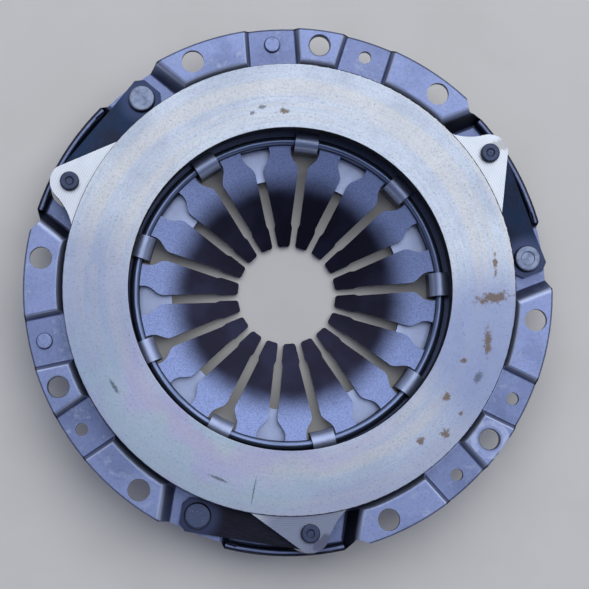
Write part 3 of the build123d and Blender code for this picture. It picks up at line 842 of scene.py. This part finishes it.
class CLUTCH_OT_straps(bpy.types.Operator):
    """Model the strap leaves, which bend between the cover and the plate"""

    bl_idname = "clutch.straps"
    bl_label = "Model Drive Straps"

    def height(self, sizes, along, rise):
        """Height of a leaf's underside: level, an easy rise and level again."""
        knee = sizes.span / 2 - sizes.clamp
        share = min(1.0, max(0.0, (along + knee) / (2 * knee)))
        eased = share * share * (3 - 2 * share)
        return rise * (STRAP_RAMP * share + (1 - STRAP_RAMP) * eased)

    def strip(self, sizes, rise):
        """The underside of a leaf along X, with its corners cut."""
        step = sizes.length / STRAP_CELLS
        start = -sizes.length / 2
        bpy.ops.object.select_all(action="DESELECT")
        bpy.ops.mesh.primitive_plane_add(size=1.0, location=(start + step / 2, 0.0, 0.0))
        leaf = bpy.context.active_object
        leaf.scale = (step, sizes.width, 1.0)
        bpy.ops.object.transform_apply(location=True, rotation=True, scale=True)
        bpy.ops.object.mode_set(mode="EDIT")
        bpy.ops.mesh.select_mode(type="EDGE")
        bpy.ops.mesh.select_all(action="DESELECT")
        bpy.ops.object.mode_set(mode="OBJECT")
        for edge in leaf.data.edges:
            ends = [leaf.data.vertices[i].co.x for i in edge.vertices]
            edge.select = min(ends) > start + step / 2
        bpy.ops.object.mode_set(mode="EDIT")
        for cell in range(1, STRAP_CELLS):
            low = self.height(sizes, start + cell * step, rise)
            high = self.height(sizes, start + (cell + 1) * step, rise)
            move = {"value": (step, 0.0, high - low)}
            bpy.ops.mesh.extrude_region_move(TRANSFORM_OT_translate=move)
        for end in (-1, 1):
            for side in (-1, 1):
                corner = (end * (sizes.length / 2 - sizes.corner), side * sizes.width / 2, 0.0)
                bpy.ops.mesh.select_all(action="SELECT")
                bpy.ops.mesh.bisect(plane_co=corner, plane_no=(end, side, 0.0), clear_outer=True)
        bpy.ops.object.mode_set(mode="OBJECT")
        return leaf

    def blank(self, sizes, rise):
        """One finished leaf about the origin, along X."""
        leaf = self.strip(sizes, rise)
        apply_modifier(leaf, "SOLIDIFY", thickness=sizes.thickness, offset=1.0)
        for end in (-1, 1):
            bpy.ops.object.select_all(action="DESELECT")
            bpy.ops.mesh.primitive_cylinder_add(
                vertices=HOLE_VERTICES,
                radius=sizes.hole / 2,
                depth=20 * MM,
                location=(end * sizes.span / 2, 0.0, 0.0),
            )
            punch = bpy.context.active_object
            apply_modifier(leaf, "BOOLEAN", operation="DIFFERENCE", solver="EXACT", object=punch)
            bpy.data.objects.remove(punch)
        apply_modifier(leaf, "BEVEL", width=STRAP_ROUND, segments=1, limit_method="ANGLE")
        pick_only(leaf)
        bpy.ops.object.shade_smooth_by_angle(angle=STRAP_SMOOTH_ANGLE)
        return leaf

    def execute(self, context):
        finish = context.scene.clutch_finish
        sizes = context.scene.clutch_straps
        low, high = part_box("strap_1_leaf_1")
        pattern = self.blank(sizes, high.z - low.z - sizes.thickness)
        for strap in (1, 2, 3):
            temper = finish.strap_dark if strap == 3 else finish.strap_blue
            for leaf in (1, 2, 3):
                node = f"strap_{strap}_leaf_{leaf}"
                middle = middle_of(node)
                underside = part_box(node)[0].z
                turn = math.atan2(middle.y, middle.x) + math.pi / 2
                place = Matrix.Translation((middle.x, middle.y, underside))
                place = place @ Matrix.Rotation(turn, 4, "Z")
                if leaf == 1:
                    rivet = place @ Vector((-sizes.span / 2, 0.0, 0.0))
                    strip = tempered_strip(f"tempered_strip_{strap}", temper, finish, turn, rivet)
                piece = bpy.data.objects.new(f"sprung_{node}", pattern.data.copy())
                bpy.context.scene.collection.objects.link(piece)
                piece.data.transform(place)
                stand_for(piece, node, strip)
                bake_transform(piece)
        bpy.data.objects.remove(pattern)
        return {"FINISHED"}


class CLUTCH_OT_rivets(bpy.types.Operator):
    """Round and scuff the rivets"""

    bl_idname = "clutch.rivets"
    bl_label = "Finish Rivets"

    def execute(self, context):
        finish = context.scene.clutch_finish
        bright = cold_headed_rivet("bright_rivet_steel", finish.crown_bright, finish)
        oily = cold_headed_rivet("oily_rivet_steel", finish.crown_oily, finish)
        dark = cold_headed_rivet("dark_rivet_steel", finish.crown_dark, finish)
        coated = cold_headed_rivet("coated_rivet_steel", finish.cover_coat, finish)
        steels = dict.fromkeys(RIVETS, bright)
        steels["cover_rivet_3"] = oily
        for number in (1, 2, 3):
            steels[f"lug_rivet_{number}"] = dark
        for number in (1, 2):
            steels[f"balance_rivet_{number}"] = coated
        for node, steel in steels.items():
            finish_node(node, f"set_{node}", RIVET_ROUND * finish.edge_round, steel)
        return {"FINISHED"}


class CLUTCH_OT_stage(bpy.types.Operator):
    """Lay the pale floor and set the camera and the soft light"""

    bl_idname = "clutch.stage"
    bl_label = "Set Stage"

    def lay_floor(self, stage):
        """A wide matt floor under the finger tips."""
        bpy.ops.object.select_all(action="DESELECT")
        place = (0.0, 0.0, CAD_BOX[0].z)
        bpy.ops.mesh.primitive_plane_add(size=stage.floor_size, location=place)
        floor = bpy.context.active_object
        floor.name = "floor"
        dress(floor, matt_painted_floor(stage))

    def hang_softbox(self, stage, look):
        """One large soft panel over the part, nearer to the view's upper right corner."""
        lamp = bpy.data.lights.new("softbox", "AREA")
        lamp.shape = "RECTANGLE"
        lamp.size, lamp.size_y = stage.softbox_size
        lamp.energy = stage.softbox_power
        holder = bpy.data.objects.new("softbox", lamp)
        bpy.context.scene.collection.objects.link(holder)
        place = (stage.softbox_side, stage.softbox_shift, stage.softbox_height)
        holder.location = look @ Vector(place)
        holder.rotation_euler = (-holder.location).to_track_quat("-Z", "Y").to_euler()

    def set_camera(self, stage, look):
        """Camera over the clutch, leaning a little to the view's lower left."""
        view = bpy.data.cameras.new("camera")
        view.angle = stage.view_angle
        view.shift_y = stage.lens_shift
        holder = bpy.data.objects.new("camera", view)
        bpy.context.scene.collection.objects.link(holder)
        look = look @ Matrix.Rotation(-stage.camera_pitch, 4, "X")
        look = look @ Matrix.Rotation(-stage.camera_yaw, 4, "Y")
        away = Matrix.Translation((-stage.aim[0], -stage.aim[1], stage.camera_distance))
        holder.matrix_world = look @ away
        bpy.context.scene.camera = holder

    def light_world(self, stage, look):
        """Studio that is brightest behind the softbox, with a pale backdrop all round."""
        world = bpy.data.worlds.new("studio")
        world.use_nodes = True
        tree = world.node_tree
        tree.nodes.clear()
        direction = add_node(tree, "TexCoord").outputs["Generated"]
        brightest = look @ Vector((0.1, 0.5, 0.86))
        near = add_node(tree, "VectorMath", {0: direction, 1: brightest}, operation="DOT_PRODUCT")
        sky = lay_over(tree, stage.upper_wall, stage.zenith, near.outputs["Value"], 0.45, 1.0)
        height = add_node(tree, "SeparateXYZ", {"Vector": direction}).outputs["Z"]
        sky = lay_over(tree, sky, stage.backdrop, height, 0.5, 0.2)
        glow = add_node(tree, "Background", {"Color": sky, "Strength": 1.0})
        add_node(tree, "OutputWorld", {"Surface": glow})
        bpy.context.scene.world = world

    def execute(self, context):
        stage = context.scene.clutch_stage
        look = Matrix.Rotation(-stage.camera_turn, 4, "Z")
        self.lay_floor(stage)
        self.hang_softbox(stage, look)
        self.set_camera(stage, look)
        self.light_world(stage, look)
        context.scene.view_settings.view_transform = "Standard"
        return {"FINISHED"}


# ---- panel and registration ---------------------------------------------------------------
STEPS = [
    CLUTCH_OT_stage,
    CLUTCH_OT_cover,
    CLUTCH_OT_plate,
    CLUTCH_OT_spring,
    CLUTCH_OT_rings,
    CLUTCH_OT_straps,
    CLUTCH_OT_rivets,
]


class CLUTCH_PT_panel(bpy.types.Panel):
    """Lists the sizes, colours and steps of the clutch cover"""

    bl_idname = "CLUTCH_PT_panel"
    bl_label = "Clutch Cover"
    bl_space_type = "VIEW_3D"
    bl_region_type = "UI"
    bl_category = "Clutch"

    def draw(self, context):
        scene = context.scene
        for settings in (scene.clutch_stage, scene.clutch_finish, scene.clutch_straps):
            box = self.layout.box()
            for name in settings.__annotations__:
                box.prop(settings, name)
        for step in STEPS:
            self.layout.operator(step.bl_idname)


CLASSES = [ClutchFinish, ClutchStraps, ClutchStage, *STEPS, CLUTCH_PT_panel]


def register():
    for cls in CLASSES:
        bpy.utils.register_class(cls)
    bpy.types.Scene.clutch_finish = PointerProperty(type=ClutchFinish)
    bpy.types.Scene.clutch_straps = PointerProperty(type=ClutchStraps)
    bpy.types.Scene.clutch_stage = PointerProperty(type=ClutchStage)


def unregister():
    del bpy.types.Scene.clutch_stage
    del bpy.types.Scene.clutch_straps
    del bpy.types.Scene.clutch_finish
    for cls in reversed(CLASSES):
        bpy.utils.unregister_class(cls)


def main():
    register()
    bpy.ops.clutch.stage()
    bpy.ops.clutch.cover()
    bpy.ops.clutch.plate()
    bpy.ops.clutch.spring()
    bpy.ops.clutch.rings()
    bpy.ops.clutch.straps()
    bpy.ops.clutch.rivets()


if __name__ == "__main__":
    main()
